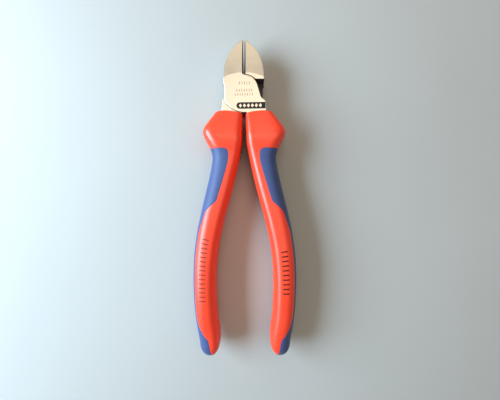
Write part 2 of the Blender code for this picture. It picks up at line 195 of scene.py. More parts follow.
# Inlay
INLAY_DEPTH = 1.5
INLAY_GAP = 0.03
INLAY_FILLET = 0.08
FILLET_TURNS = (30.0, 60.0, 90.0)
STRIP_WIDTH = 1.6
STRIP_Y = (-70.0, -114.0)
STRIP_STEP = 3.0
INLAY_TOP_Y = -28.9
INLAY_CORNER = (9.6, -31.3)
INLAY_CORNER_RADIUS = 2.4
THUMB_EDGE = [
    (7.3, -34.8), (8.6, -40.0), (12.0, -51.7), (13.2, -54.9), (16.1, -57.5), (18.4, -60.2),
    (20.2, -65.4),
]
TOE_EDGE = [
    (20.9, -116.8), (18.4, -120.7), (16.6, -122.8), (15.9, -125.4), (15.4, -128.6), (14.9, -131.5),
    (14.7, -133.4),
]
EDGE_SPACING = 0.25
TOP_POINTS = 12
CORNER_STEPS = 16
EDGE_CURVE_STEPS = 10
SEAM_CREASE = 50.0

# Printed marks
INK = 0.03
BAND_Y = (-9.05, -5.84)
BAND_LEFT = -3.8
BAND_RIGHT = 10.45
BAND_SLANT = 0.1
BAND_STEP = 1.2
BAND_ROUND_STEPS = 24
DIAMONDS = 6
DIAMOND_SIZE = 0.8
DIAMOND_HEIGHT = 1.25
DIAMOND_START = 0.35
DIAMOND_END_GAP = 0.4
# Rows of dashes, as (middle y, height, count, middle x)
ETCHED_ROWS = [(3.7, 1.5, 5, 0.3), (0.1, 1.3, 7, 0.15), (-1.95, 1.2, 8, -0.05)]
ETCHED_PITCH = 1.22
ETCHED_WIDTH = 0.34
MARK_LENGTH = 3.2
MARK_WIDTH = 0.62
MARK_PITCH = 2.2
MARK_STEPS = 6
MARK_SINK = 0.05
MARK_SHIFT = 0.25
LEAN_REACH = 2.0
RIGHT_MARKS = (-79.6, -99.9)
LEFT_MARKS = (-73.5, -103.4)

# A block's faces, from four corners low down and the same four higher up
BOX_FACES = [(0, 1, 2, 3), (7, 6, 5, 4), (0, 4, 5, 1), (1, 5, 6, 2), (2, 6, 7, 3), (3, 7, 4, 0)]

# Colours, linear: two tones of each surface, then the tone of its wear or grain where it has one
STEEL_TONES = [(0.74, 0.69, 0.62, 1.0), (0.79, 0.745, 0.68, 1.0), (0.62, 0.565, 0.50, 1.0)]
OXIDE_TONES = [(0.018, 0.016, 0.015, 1.0), (0.045, 0.040, 0.036, 1.0)]
# The cutting-edge bevels' two tones are darker and browner than the steel's: painted shade of the groove
# between the jaws.
EDGE_SHADE_TONES = [(0.30, 0.255, 0.20, 1.0), (0.44, 0.38, 0.31, 1.0)]
PLASTIC_TONES = [(0.87, 0.050, 0.018, 1.0), (0.90, 0.058, 0.022, 1.0), (0.92, 0.17, 0.10, 1.0)]
RUBBER_TONES = [(0.030, 0.056, 0.175, 1.0), (0.038, 0.068, 0.205, 1.0), (0.055, 0.090, 0.225, 1.0)]
FLOOR_TONES = [(0.39, 0.385, 0.375, 1.0), (0.42, 0.415, 0.405, 1.0)]
BLACK_INK = (0.012, 0.011, 0.011, 1.0)
BROWN_INK = (0.050, 0.010, 0.007, 1.0)
WORN_INK = (0.21, 0.036, 0.024, 1.0)
ETCHED_TONE = (0.30, 0.225, 0.155, 1.0)
INK_WEAR = 0.02

# Where the handles start and stop growing duller from use, as places along Y in metres
HANDLED_Y = (0.032, -0.015)

# Light: daylight from the side, lamps from above and behind, and the room
DAYLIGHT = (0.64, 0.85, 1.0)
LAMP_LIGHT = (1.0, 0.85, 0.66)
BACK_LIGHT = (1.0, 0.84, 0.60)
ROOM_LIGHT = (1.0, 0.92, 0.80, 1.0)
ROOM_STRENGTH = 0.24
FLOOR_SIZE = 4.0

# Camera, over the object and square to it. VIEW_WIDTH is what it sees across at CAMERA_DISTANCE.
CAMERA_DISTANCE = 132.0
CAMERA_PLACE = Vector((2.77, -1.13, CAMERA_DISTANCE)) * MM + Vector((0.0, 0.0, PIVOT.z))
CAMERA_ROLL = math.radians(-0.26)
CAMERA_CLIP = 0.01
SENSOR_WIDTH = 36.0
VIEW_WIDTH = 257.65


# Outlines and curves

def arc(centre, radius, start_degrees, end_degrees, steps):
    """Points on an arc, both ends included."""
    turns = [start_degrees + (end_degrees - start_degrees) * i / steps for i in range(steps + 1)]
    return [
        (centre[0] + radius * math.cos(math.radians(t)), centre[1] + radius * math.sin(math.radians(t)))
        for t in turns
    ]


def spline_through(points, steps):
    """A Catmull-Rom curve through the points, both ends included."""
    ends = [Vector(points[0]) * 2 - Vector(points[1]), Vector(points[-1]) * 2 - Vector(points[-2])]
    p = [ends[0], *map(Vector, points), ends[1]]
    curve = []
    for i in range(1, len(p) - 2):
        for s in range(steps):
            t = s / steps
            a = p[i] * 2 + (p[i + 1] - p[i - 1]) * t
            b = (p[i - 1] * 2 - p[i] * 5 + p[i + 1] * 4 - p[i + 2]) * t * t
            c = (p[i] * 3 - p[i - 1] - p[i + 1] * 3 + p[i + 2]) * t ** 3
            curve.append(tuple((a + b + c) / 2))
    return [*curve, tuple(points[-1])]


def resampled(points, spacing):
    """The same line with points evenly spaced along it, both ends included."""
    line = np.array(points, float)
    along = np.concatenate(([0.0], np.cumsum(np.hypot(*np.diff(line, axis=0).T))))
    wanted = np.linspace(0.0, along[-1], max(2, round(along[-1] / spacing) + 1))
    return np.column_stack([np.interp(wanted, along, line[:, i]) for i in (0, 1)])


def refined(outline, spacing):
    """A closed outline with every side split into steps of about spacing, its corners kept."""
    points = []
    for a, b in zip(outline, [*outline[1:], outline[0]]):
        steps = max(1, round(math.dist(a, b) / spacing))
        rise = (b[0] - a[0], b[1] - a[1])
        points += [(a[0] + rise[0] * s / steps, a[1] + rise[1] * s / steps) for s in range(steps)]
    return points


def offset(points, gap, closed):
    """A line moved by gap to its left. An open line ends square to its last stretch."""
    p = np.array(points, float)
    along = np.roll(p, -1, axis=0) - np.roll(p, 1, axis=0)
    if not closed:
        along[0], along[-1] = p[1] - p[0], p[-1] - p[-2]
    along /= np.hypot(*along.T)[:, None]
    return p + np.column_stack([-along[:, 1], along[:, 0]]) * gap


def distance_to(points, line, closed):
    """How far each point is from a line."""
    a = np.array(line, float)
    b = np.roll(a, -1, axis=0)
    if not closed:
        a, b = a[:-1], b[:-1]
    p, d = np.array(points, float)[:, None], (b - a)[None]
    t = np.clip(((p - a) * d).sum(2) / np.maximum((d * d).sum(2), 1e-12), 0, 1)
    return np.hypot(*np.moveaxis(p - a - t[..., None] * d, 2, 0)).min(1)


def inside(points, outline):
    """Which points lie in a closed outline."""
    p, a = np.array(points, float)[:, None], np.array(outline, float)
    b = np.roll(a, -1, axis=0)
    crosses = (a[:, 1] > p[..., 1]) != (b[:, 1] > p[..., 1])
    rise = np.where(b[:, 1] == a[:, 1], 1e-12, b[:, 1] - a[:, 1])
    crossing_x = (b[:, 0] - a[:, 0]) * (p[..., 1] - a[:, 1]) / rise + a[:, 0]
    return (crosses & (p[..., 0] < crossing_x)).sum(1) % 2 == 1


def triangulated(outline, rows, loose):
    """Triangles that fill an outline. rows are (points, closed) lines whose edges are kept.

    Gives the points, the triangles, and each point's number in outline, rows and loose end to end.
    """
    points, edges = [tuple(p) for p in outline], []
    for row, closed in rows:
        first, count = len(points), len(row)
        points += [tuple(p) for p in row]
        edges += [(first + i, first + i + 1) for i in range(count - 1)]
        if closed:
            edges.append((first + count - 1, first))
    points += [tuple(p) for p in loose]
    made = delaunay_2d_cdt([Vector(p) for p in points], edges, [list(range(len(outline)))], 1, 1e-5)
    places = [origin[0] if origin else -1 for origin in made[3]]
    return np.array([tuple(p) for p in made[0]]), [tuple(f) for f in made[2]], places


# Meshes

def mesh_object(name, points, faces, weld=1e-6):
    """An object from points in millimetres, with touching points joined and its faces turned outwards."""
    mesh = bpy.data.meshes.new(name)
    mesh.from_pydata([tuple(float(c) * MM for c in p) for p in points], [], faces)
    shape = bmesh.new()
    shape.from_mesh(mesh)
    bmesh.ops.remove_doubles(shape, verts=shape.verts, dist=weld)
    bmesh.ops.dissolve_degenerate(shape, edges=shape.edges, dist=weld)
    bmesh.ops.recalc_face_normals(shape, faces=shape.faces)
    shape.to_mesh(mesh)
    shape.free()
    obj = bpy.data.objects.new(name, mesh)
    bpy.context.scene.collection.objects.link(obj)
    return obj


def prism(name, outline, low, high):
    """A flat outline given a thickness."""
    count = len(outline)
    points = [(x, y, z) for z in (low, high) for x, y in outline]
    faces = [(i, (i + 1) % count, (i + 1) % count + count, i + count) for i in range(count)]
    return mesh_object(name, points, [*faces, tuple(range(count)), tuple(range(count, 2 * count))])


def loft(name, rings):
    """A closed skin over rings of equal point counts."""
    count = len(rings[0])
    faces = [
        (r * count + i, r * count + (i + 1) % count, (r + 1) * count + (i + 1) % count, (r + 1) * count + i)
        for r in range(len(rings) - 1)
        for i in range(count)
    ]
    last = (len(rings) - 1) * count
    ends = [tuple(range(count)), tuple(range(last, last + count))]
    return mesh_object(name, [p for ring in rings for p in ring], faces + ends)


def turned(name, profile):
    """Turns a (radius, z) profile, top to bottom, about Z."""
    angles = [math.tau * i / ROUND_STEPS for i in range(ROUND_STEPS)]
    rings = [[(r * math.cos(a), r * math.sin(a), z) for a in angles] for r, z in profile]
    return loft(name, rings)


def evaluated(obj):
    """A mesh of the object as its modifiers leave it."""
    bpy.context.view_layer.update()
    return bpy.data.meshes.new_from_object(obj.evaluated_get(bpy.context.evaluated_depsgraph_get()))


def boolean(target, other, operation, material=None):
    """Cuts or joins target with other. The faces that other leaves take the material."""
    if material:
        other.data.materials.append(material)
    modifier = target.modifiers.new(operation, "BOOLEAN")
    modifier.operation = operation
    modifier.solver = "EXACT"
    modifier.material_mode = "TRANSFER"
    modifier.object = other
    target.data = evaluated(target)
    target.modifiers.clear()
    bpy.data.objects.remove(other, do_unlink=True)
    return target


def smooth(obj, crease_degrees=35.0):
    """Shades the object smooth but for its edges sharper than the given angle."""
    obj.data.shade_smooth()
    obj.data.set_sharp_from_angle(angle=math.radians(crease_degrees))


def mirrored(points, side):
    """Flat points on the side's own half, mirrored in x where side is -1."""
    return [(x * side, y) for x, y in points]


def half_span(side, low, high):
    """A z range in the side's own half of the lap joint."""
    return (low, high) if side > 0 else (-high, -low)


# Materials

class Nodes:
    """A material's node tree, with a call for each node that this script uses."""

    def __init__(self, name):
        self.material = bpy.data.materials.new(name)
        self.material.use_nodes = True
        self.tree = self.material.node_tree
        self.shader = self.tree.nodes["Principled BSDF"]
        self.place = self.add("ShaderNodeTexCoord").outputs["Object"]

    def add(self, kind, **settings):
        node = self.tree.nodes.new(kind)
        for key, value in settings.items():
            setattr(node, key, value)
        return node

    def put(self, socket, value):
        """Links an output to a socket, or sets the socket to a constant."""
        if isinstance(value, bpy.types.NodeSocket):
            self.tree.links.new(value, socket)
        else:
            socket.default_value = value

    def stretched(self, scale, turn=0.0):
        """The object's own coordinates in metres, scaled along each axis."""
        node = self.add("ShaderNodeMapping")
        self.put(node.inputs["Vector"], self.place)
        node.inputs["Scale"].default_value = scale
        node.inputs["Rotation"].default_value = (0.0, 0.0, turn)
        return node.outputs["Vector"]

    def noise(self, scale, detail=3.0, stretch=(1.0, 1.0, 1.0), turn=0.0, roughness=0.5):
        node = self.add("ShaderNodeTexNoise")
        self.put(node.inputs["Vector"], self.stretched(stretch, turn))
        node.inputs["Scale"].default_value = scale
        node.inputs["Detail"].default_value = detail
        node.inputs["Roughness"].default_value = roughness
        return node.outputs["Fac"]

    def along(self, axis):
        """The place along one axis, in metres."""
        node = self.add("ShaderNodeSeparateXYZ")
        self.put(node.inputs[0], self.place)
        return node.outputs[axis]

    def spread(self, value, low, high, start=0.3, end=0.7):
        """Maps a value from start..end to low..high, held at the ends."""
        node = self.add("ShaderNodeMapRange")
        self.put(node.inputs["Value"], value)
        for key, number in zip(("From Min", "From Max", "To Min", "To Max"), (start, end, low, high)):
            node.inputs[key].default_value = number
        return node.outputs["Result"]

    def blend(self, share, first, second):
        """A colour between two others."""
        node = self.add("ShaderNodeMix", data_type="RGBA")
        self.put(node.inputs["Factor"], share)
        self.put(node.inputs[6], first)
        self.put(node.inputs[7], second)
        return node.outputs[2]

    def maths(self, operation, first, second):
        node = self.add("ShaderNodeMath", operation=operation)
        self.put(node.inputs[0], first)
        self.put(node.inputs[1], second)
        return node.outputs[0]

    def bump(self, height, depth, strength=1.0, below=None):
        """A relief of the given depth in metres. below is a normal that it lies on."""
        node = self.add("ShaderNodeBump")
        node.inputs["Strength"].default_value = strength
        node.inputs["Distance"].default_value = depth
        self.put(node.inputs["Height"], height)
        if below is not None:
            self.put(node.inputs["Normal"], below)
        return node.outputs["Normal"]

    def finish(self, **sockets):
        for name, value in sockets.items():
            self.put(self.shader.inputs[name.replace("_", " ")], value)
        return self.material


def ground_steel():
    """Bright steel with fine cross-ground lines and faint clouding."""
    n = Nodes("ground_steel")
    clouds = n.noise(220.0, detail=4.0)
    grain = n.noise(5200.0, detail=3.0, roughness=0.7)
    lines = n.noise(900.0, detail=4.0, stretch=(1.0, 9.0, 1.0), turn=0.35, roughness=0.65)
    dark, pale, pitted = STEEL_TONES
    tint = n.blend(n.spread(clouds, 0.0, 1.0), dark, pale)
    tint = n.blend(n.spread(grain, 0.0, 0.35, start=0.5, end=0.75), tint, pitted)
    rough = n.maths("ADD", n.spread(clouds, 0.29, 0.34), n.spread(lines, -0.04, 0.05))
    relief = n.bump(lines, depth=6e-6, strength=0.5)
    relief = n.bump(grain, depth=9e-6, strength=0.5, below=relief)
    return n.finish(Base_Color=tint, Metallic=1.0, Roughness=rough, Normal=relief)


def oxide_steel():
    """The forging's unground faces inside the joint, blackened."""
    n = Nodes("black_oxide")
    clouds = n.noise(500.0, detail=4.0)
    tint = n.blend(n.spread(clouds, 0.0, 1.0), *OXIDE_TONES)
    relief = n.bump(n.noise(2600.0, detail=3.0), depth=1.6e-5, strength=0.6)
    return n.finish(Base_Color=tint, Metallic=0.3, Roughness=n.spread(clouds, 0.45, 0.6), Normal=relief)


def shaded_edge_steel():
    """The fine-ground bevels of the cutting edges, with grinding lines. Their darker, browner tone than the
    faces is painted shade of the groove between the jaws.
    """
    n = Nodes("shaded_edge_steel")
    lines = n.noise(1400.0, detail=3.0, stretch=(1.0, 0.15, 1.0))
    tint = n.blend(n.spread(lines, 0.0, 1.0), *EDGE_SHADE_TONES)
    relief = n.bump(lines, depth=5e-6, strength=0.6)
    return n.finish(Base_Color=tint, Metallic=1.0, Roughness=n.spread(lines, 0.28, 0.42), Normal=relief)


def hard_plastic():
    """Glossy red-orange moulded plastic with faint handling marks."""
    n = Nodes("hard_plastic")
    clouds = n.noise(60.0, detail=3.0)
    peel = n.noise(900.0, detail=2.0)
    scuffs = n.noise(700.0, detail=5.0, stretch=(1.0, 0.2, 1.0), turn=0.5, roughness=0.7)
    deep, bright, scuffed = PLASTIC_TONES
    tint = n.blend(n.spread(clouds, 0.0, 1.0), deep, bright)
    tint = n.blend(n.spread(scuffs, 0.0, 0.12, start=0.62, end=0.78), tint, scuffed)
    handled = n.spread(n.along(1), 0.0, 0.10, *HANDLED_Y)
    rough = n.maths("ADD", n.spread(clouds, 0.24, 0.31), n.spread(scuffs, 0.0, 0.16, start=0.55, end=0.8))
    rough = n.maths("ADD", rough, handled)
    relief = n.bump(peel, depth=9e-6, strength=0.7)
    relief = n.bump(scuffs, depth=3e-6, strength=0.4, below=relief)
    return n.finish(Base_Color=tint, Roughness=rough, Normal=relief, IOR=1.54)


def soft_rubber():
    """Matte blue thermoplastic rubber with a fine spark-eroded grain."""
    n = Nodes("soft_rubber")
    clouds = n.noise(90.0, detail=3.0)
    grain = n.noise(2600.0, detail=3.0, roughness=0.6)
    deep, bright, grained = RUBBER_TONES
    tint = n.blend(n.spread(clouds, 0.0, 1.0), deep, bright)
    tint = n.blend(n.spread(grain, 0.0, 0.25, start=0.5, end=0.72), tint, grained)
    rough = n.spread(clouds, 0.52, 0.62)
    relief = n.bump(grain, depth=2.2e-5, strength=0.6)
    return n.finish(Base_Color=tint, Roughness=rough, Normal=relief, Sheen_Weight=0.1)


def ink(name, colour):
    """A matte printed mark, slightly paler where it is worn."""
    n = Nodes(name)
    wear = n.noise(2400.0, detail=4.0, roughness=0.7)
    worn = tuple(c + INK_WEAR for c in colour[:3]) + (1.0,)
    tint = n.blend(n.spread(wear, 0.0, 1.0, start=0.5, end=0.75), colour, worn)
    rough = n.spread(wear, 0.5, 0.65)
    return n.finish(Base_Color=tint, Roughness=rough, Normal=n.bump(wear, depth=3e-6, strength=0.5), IOR=1.3)


def floor_paint():
    """Plain pale paint with the faintest clouding."""
    n = Nodes("floor_paint")
    clouds = n.noise(6.0, detail=3.0)
    tint = n.blend(n.spread(clouds, 0.0, 1.0), *FLOOR_TONES)
    return n.finish(Base_Color=tint, Roughness=0.8)


# Levers. side is 1 for the front lever (jaw on -X, plate at +Z, handle on +X) and -1 for the back
# lever, which is its mirror image in both X and Z but for the cutting edge.

def head_outline():
    """The front lever's head from the front, counter-clockwise from its tip."""
    corner = math.degrees(math.acos(PLATE_EDGE_X / PLATE_BOTTOM_RADIUS))
    jaw = spline_through(JAW_EDGE, CURVE_STEPS)[::-1]
    bottom = arc((0, 0), PLATE_BOTTOM_RADIUS, 180 + corner, PLATE_BOTTOM_END, PLATE_BOTTOM_STEPS)
    notch = spline_through(NOTCH_EDGE, CURVE_STEPS)[::-1]
    top = arc((0, 0), PLATE_TOP_RADIUS, PLATE_TOP_START, 90, PLATE_TOP_STEPS)[1:]
    return refined([
        (-EDGE_CLEARANCE, TIP_Y), *jaw, *HEEL_STEP, *bottom, *SHOULDER_FOOT, SHOULDER_TOP,
        *notch, *top, (-EDGE_CLEARANCE, PLATE_TOP_RADIUS),
    ], OUTLINE_STEP)


def face_height(x, y):
    """The height of the head's face: flat on the plate, falling away and slightly domed on the jaws."""
    run = np.asarray(y) - BELLY_START_Y
    fall = HALF - BELLY_START_SLOPE * run - BELLY_CURVE * run * np.abs(run)
    return np.minimum(HALF, fall - np.square(x) / (2 * BELLY_RADIUS))


def crease_y(x):
    """Where the jaw's face meets the plate's."""
    dome = x * x / (2 * BELLY_RADIUS)
    root = math.sqrt(BELLY_START_SLOPE ** 2 + 4 * BELLY_CURVE * dome)
    return BELLY_START_Y - (root - BELLY_START_SLOPE) / (2 * BELLY_CURVE)


def grid_in(outline, spacing, margin, low_y):
    """A staggered grid of points inside an outline, above low_y."""
    o = np.array(outline)
    rows = np.arange(low_y, o[:, 1].max(), spacing * STAGGERED_ROW)
    xs = np.arange(o[:, 0].min(), o[:, 0].max(), spacing)
    points = np.array([(x + spacing / 2 * (i % 2), y) for i, y in enumerate(rows) for x in xs])
    points = points[inside(points, outline)]
    return points[distance_to(points, outline, True) > margin]


def head_block():
    """The whole head as one block with rounded rims, front and back alike."""
    outline = head_outline()
    angles = [math.radians(90.0 * (k + 1) / HEAD_FILLET_STEPS) for k in range(HEAD_FILLET_STEPS)]
    rows = [offset(outline, HEAD_FILLET * (1 - math.cos(a)), True) for a in angles]
    crease = np.array([(x, crease_y(x)) for x in np.linspace(*CREASE_X, CREASE_POINTS)])
    grid = grid_in(outline, HEAD_GRID, HEAD_GRID_MARGIN, crease_y(GRID_START_X))
    above = grid[:, 1] > np.array([crease_y(x) for x in grid[:, 0]]) + CREASE_CLEARANCE
    loops = [(row, True) for row in rows] + [(crease, False)]
    flat, triangles, places = triangulated(outline, loops, grid[above])
    count = len(outline)
    drops = [HEAD_FILLET] + [HEAD_FILLET * (1 - math.sin(a)) for a in angles]
    drop = np.array([drops[p // count] if 0 <= p < count * len(drops) else 0.0 for p in places])
    top = face_height(flat[:, 0], flat[:, 1]) - drop
    points = [(x, y, z) for (x, y), z in zip(flat, top)] + [(x, y, -z) for (x, y), z in zip(flat, top)]
    below = len(flat)
    where = {p: i for i, p in enumerate(places)}
    rim = [where[i] for i in range(count)]
    walls = [(a, b, b + below, a + below) for a, b in zip(rim, rim[1:] + rim[:1])]
    faces = triangles + [tuple(i + below for i in reversed(f)) for f in triangles] + walls
    return points, faces


def lap_cutter(side):
    """What is taken away behind the front lever's plate: all but its jaw and its shoulder."""
    room, foot_room = PLATE_TOP_RADIUS + GROOVE, PLATE_BOTTOM_RADIUS + GROOVE
    heel_turn = 180 - math.degrees(math.asin(JAW_HEEL_Y / room))
    top = arc((0, 0), room, heel_turn, 90, LAP_TOP_STEPS)
    foot_turn = math.degrees(math.asin(LAP_FOOT_Y / foot_room))
    foot = arc((0, 0), foot_room, foot_turn, LAP_FOOT_END, LAP_FOOT_STEPS)
    outline = [
        (-PAST_SIDE, JAW_HEEL_Y), *top, (PAST_SIDE, room), (PAST_SIDE, foot[0][1]), *foot,
        (-PAST_SIDE, foot[-1][1]),
    ]
    return prism("lap_cutter", mirrored(outline, side), *half_span(side, -HALF - PAST_FACE, LAP_GAP / 2))


def edge_cutter(side):
    """The space beside one jaw's cutting edge, in front of its front bevel and behind its back bevel."""
    rings = []
    for y in (SLOT_Y, TIP_Y + PAST_FACE):
        share = (y - EDGE_START[0]) / (EDGE_END[0] - EDGE_START[0])
        z = EDGE_START[1] + (EDGE_END[1] - EDGE_START[1]) * share
        front, back = z + BEVEL_REACH, z - 2 * BEVEL_REACH
        ring = [
            (-EDGE_CLEARANCE, z),
            (-EDGE_CLEARANCE - math.tan(FRONT_BEVEL) * BEVEL_REACH, front),
            (EDGE_CUTTER_X, front),
            (EDGE_CUTTER_X, back),
            (-EDGE_CLEARANCE - math.tan(BACK_BEVEL) * 2 * BEVEL_REACH, back),
        ]
        rings.append([(x * side, y, height) for x, height in ring])
    return loft("edge_cutter", rings)


def slot_cutter():
    """The round end of the slot between the jaws, sunk from the front to just below the edges."""
    circle = arc((0, SLOT_Y), SLOT_RADIUS, 0, 360, SLOT_STEPS)[:-1]
    return prism("slot", circle, EDGE_START[1] - SLOT_BELOW_EDGE, HALF + PAST_FACE)


def rivet_profile(grow):
    """Half section of the rivet as (radius, z), top to bottom. grow also lifts its ends."""
    neck = HALF - RIVET_HEAD_DEPTH
    end = HALF + BORE_RISE * grow
    head, shank = RIVET_HEAD_RADIUS + grow, RIVET_RADIUS + grow
    return [(head, end), (head, HALF), (shank, neck), (shank, -neck), (head, -HALF), (head, -end)]


def superellipse(angle, half_width, half_height, exponent):
    """The point at an angle round a squarish ellipse."""
    c, s = np.cos(angle), np.sin(angle)
    power = 2.0 / np.asarray(exponent)
    return (
        half_width * np.sign(c) * np.abs(c) ** power,
        half_height * np.sign(s) * np.abs(s) ** power,
    )


def make_tang(side, grow=0.0):
    """A lever's tang, or with grow the hollow that takes it."""
    rings = []
    for y, centre, half_width, half_thickness in TANG:
        shift = grow if y == TANG[0][0] else -grow if y == TANG[-1][0] else 0.0
        turns = math.tau * (np.arange(TANG_POINTS) + 0.5) / TANG_POINTS
        dx, dz = superellipse(turns, half_width + grow, half_thickness + grow, TANG_SQUARENESS)
        rings.append([((centre + a) * side, y + shift, b) for a, b in zip(dx, dz)])
    return loft("tang", rings)


def sharpen_crease(lever):
    """Keeps the line between the plate and the jaws' faces crisp."""
    for edge in lever.data.edges:
        ends = [lever.data.vertices[i].co / MM for i in edge.vertices]
        on_crease = [abs(p.y - crease_y(p.x)) < CREASE_TOLERANCE for p in ends]
        on_face = [abs(p.z) > HALF - CREASE_DEPTH for p in ends]
        if all(on_crease) and all(on_face):
            edge.use_edge_sharp = True


def make_lever(name, side):
    """One forging: the head block with its lap, edges, slot and bore cut, and its tang joined on."""
    points, faces = head_block()
    lever = mesh_object(name, [(x * side, y, z * side) for x, y, z in points], faces)
    lever.data.materials.append(LOOKS["steel"])
    boolean(lever, lap_cutter(side), "DIFFERENCE", LOOKS["oxide"])
    corner_span = half_span(side, CORNER_CUT_LOW, HALF + PAST_FACE)
    corner = prism("corner", mirrored(CORNER_CUT, side), *corner_span)
    boolean(lever, corner, "DIFFERENCE", LOOKS["steel"])
    # The bevels cut here take a darker, browner tone: painted shade.
    boolean(lever, edge_cutter(side), "DIFFERENCE", LOOKS["edge"])
    boolean(lever, slot_cutter(), "DIFFERENCE", LOOKS["oxide"])
    boolean(lever, turned("bore", rivet_profile(RIVET_CLEARANCE)), "DIFFERENCE", LOOKS["oxide"])
    boolean(lever, make_tang(side), "UNION", LOOKS["oxide"])
    smooth(lever)
    sharpen_crease(lever)
    weighted = lever.modifiers.new("weighted", "WEIGHTED_NORMAL")
    weighted.keep_sharp = True
    lever.data = evaluated(lever)
    lever.modifiers.clear()
    return lever


def make_rivet():
    rivet = turned("flush_rivet", rivet_profile(0.0)[1:-1])
    rivet.data.materials.append(LOOKS["steel"])
    smooth(rivet)
    return rivet


# Grips. A point of the right grip's skin is given by (v, b): v runs from 0 at the handle's outer
# side over its top to 1 at the inner side, and b is y along the handle, then on round its end.

def read_stations(stations, y):
    """The value at y of a smooth curve through (y, value) stations, without overshoot."""
    if y >= stations[0][0]:
        return stations[0][1] + (y - stations[0][0]) * slope_of(stations, 0)
    if y <= stations[-1][0]:
        return stations[-1][1] + (y - stations[-1][0]) * slope_of(stations, len(stations) - 2)
    i = next(k for k in range(len(stations) - 1) if y >= stations[k + 1][0])
    (y0, v0), (y1, v1) = stations[i], stations[i + 1]
    step = y1 - y0
    t = (y - y0) / step
    return (
        v0 * (1 + 2 * t) * (1 - t) ** 2
        + step * tangent_of(stations, i) * t * (1 - t) ** 2
        + v1 * t * t * (3 - 2 * t)
        + step * tangent_of(stations, i + 1) * t * t * (t - 1)
    )


def slope_of(stations, i):
    """The slope from station i to the next."""
    (y0, v0), (y1, v1) = stations[i], stations[i + 1]
    return (v1 - v0) / (y1 - y0)


def tangent_of(stations, i):
    """The curve's slope at station i: none at a peak or a dip."""
    if i == 0 or i == len(stations) - 1:
        return slope_of(stations, min(i, len(stations) - 2))
    before, after = slope_of(stations, i - 1), slope_of(stations, i)
    return 0.0 if before * after <= 0 else 2 * before * after / (before + after)


def blurred(stations):
    """The stations' curve in small steps, its kinks eased."""
    reach = 4 * STATION_BLUR
    y = np.arange(MOUTH_Y + reach, GRIP_LAST_Y - reach, -STATION_STEP)
    values = np.array([read_stations(stations, v) for v in y])
    taps = np.arange(-reach, reach + STATION_STEP / 2, STATION_STEP)
    kernel = np.exp(-0.5 * (taps / STATION_BLUR) ** 2)
    eased = np.convolve(values, kernel / kernel.sum(), "same")
    keep = (y <= MOUTH_Y + STATION_STEP) & (y >= GRIP_LAST_Y - STATION_STEP)
    return y[keep][::-1], eased[keep][::-1]


PROFILES = {
    "inner": blurred(INNER_EDGE),
    "outer": blurred(OUTER_EDGE),
    "height": blurred(HALF_THICKNESS),
    "square": blurred(SQUARENESS),
}


def profile(name, y):
    """One of the handle's profiles at y."""
    return np.interp(y, *PROFILES[name])


def spacing_table():
    """Angles round a typical section, against the even way v along its outline."""
    angles = np.linspace(0.0, math.pi, WAY_STEPS + 1)
    roundness = np.where(angles < math.pi / 2, OUTER_ROUNDNESS, 1.0)
    x, z = superellipse(angles, TYPICAL_WIDTH, TYPICAL_HEIGHT, TYPICAL_SQUARENESS * roundness)
    way = np.concatenate(([0.0], np.cumsum(np.hypot(np.diff(x), np.diff(z)))))
    return way / way[-1], angles


WAY, WAY_ANGLES = spacing_table()


def section(b, inset):
    """The section at b: y, crown x, widths either side of the crown, height and squareness."""
    b = np.asarray(b, float)
    y = np.maximum(b, GRIP_LAST_Y)
    turn = np.clip((GRIP_LAST_Y - b) / GRIP_END_LENGTH, 0.0, math.pi / 2)
    inner, outer = profile("inner", y) + inset, profile("outer", y) - inset
    middle, shrink = (inner + outer) / 2, np.cos(turn)
    inner, outer = middle + (inner - middle) * shrink, middle + (outer - middle) * shrink
    crown = inner + (outer - inner) * CROWN_SHARE
    height = (profile("height", y) - inset) * shrink
    end = y - (GRIP_END_LENGTH - inset) * np.sin(turn)
    return end, crown, outer - crown, crown - inner, height, profile("square", y)


def mouth_inset(b):
    """How far the skin draws in where it rounds over into the mouth."""
    near = np.clip(MOUTH_FILLET - (MOUTH_Y - np.asarray(b)), 0.0, MOUTH_FILLET)
    return MOUTH_FILLET - np.sqrt(MOUTH_FILLET ** 2 - near ** 2)


def skin_points(flat, inset):
    """Points of the skin from unrolled ones, drawn in by inset."""
    a, b = np.asarray(flat, float).T
    angle = np.interp(np.clip(a / SKIN_WIDTH, 0.0, 1.0), WAY, WAY_ANGLES)
    y, crown, wide, narrow, height, square = section(b, inset + mouth_inset(b))
    outer = angle < math.pi / 2
    roundness = np.where(outer, OUTER_ROUNDNESS, 1.0)
    dx, dz = superellipse(angle, np.where(outer, wide, narrow), height, square * roundness)
    x = crown + dx
    fade = np.clip(1.0 - (MOUTH_Y - y) / TOP_DIP_REACH, 0.0, 1.0)
    dip = TOP_DIP * np.clip(1.0 - x / TOP_DIP_REACH, 0.0, 1.0) ** TOP_DIP_POWER * fade
    return np.column_stack([x, y - dip, np.abs(dz)])


def unrolled(x, y):
    """The unrolled place of the skin's point above (x, y), past SKIN_WIDTH if x is past the inner side."""
    b = y
    if y < GRIP_LAST_Y:
        b = GRIP_LAST_Y - GRIP_END_LENGTH * math.asin(min(1.0, (GRIP_LAST_Y - y) / GRIP_END_LENGTH))
    _, crown, wide, narrow, _, square = section(b, 0.0)
    if x >= crown:
        share = min(1.0, (x - crown) / wide) ** (square * OUTER_ROUNDNESS / 2)
        angle = math.acos(share)
    else:
        share = (crown - x) / max(narrow, 1e-6)
        if share >= 1.0:
            return SKIN_WIDTH * share, b
        angle = math.pi - math.acos(share ** (square / 2))
    return SKIN_WIDTH * float(np.interp(angle, WAY_ANGLES, WAY)), float(b)


